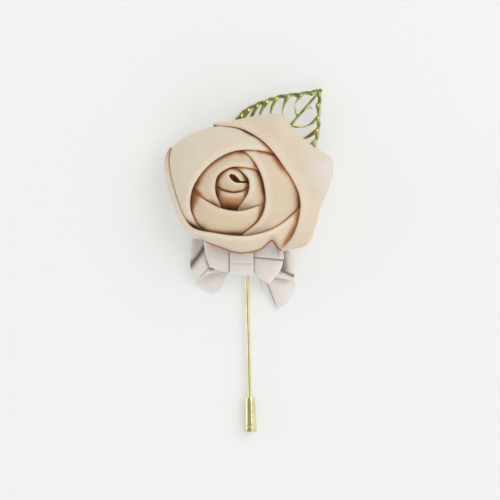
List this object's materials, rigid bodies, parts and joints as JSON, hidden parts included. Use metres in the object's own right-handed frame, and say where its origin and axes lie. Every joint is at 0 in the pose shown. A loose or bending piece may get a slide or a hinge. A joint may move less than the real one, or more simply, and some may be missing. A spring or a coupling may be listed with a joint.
{
  "type": "boutonniere",
  "caption": "Folded ribbon rose with an openwork metal leaf and a satin bow on a straight stick pin, whose clutch slides off the point.",
  "frame": {"origin": "centre of the felt back's under face, on the surface that the piece lies on", "axes": "+Z out of the bloom's face, -Y along the pin towards its point, +X to the right of the bloom as worn"},
  "size_m": [0.0551, 0.1124, 0.0215],
  "materials": {
    "satin": "champagne satin ribbon",
    "bow_satin": "pale greyish lilac satin ribbon",
    "gilt": "polished pale gold plate",
    "leaf_gilt": "gilt plate on stamped openwork",
    "felt": "ivory felt",
    "nylon": "natural nylon"
  },
  "bodies": {
    "bloom": {"felt_back": "felt", "stick_pin": "gilt", "leaf": "leaf_gilt", "rose_base": "felt", "bud_core": "satin", "bud_roll": "satin", "bud_lap": "satin", "petal_1": "satin", "petal_2": "satin", "petal_3": "satin", "petal_4": "satin", "petal_5": "satin", "petal_6": "satin", "petal_7": "satin", "bow_tails": "bow_satin", "bow_loops": "bow_satin", "bow_knot": "bow_satin"},
    "clutch": {"clutch": "gilt", "clutch_sleeve": "nylon"}
  },
  "joints": [
    {"name": "clutch_slide", "type": "slide", "parent": "bloom", "child": "clutch", "axis": [0.0223, -0.9998, 0], "range_m": [0, 0.016]}
  ]
}
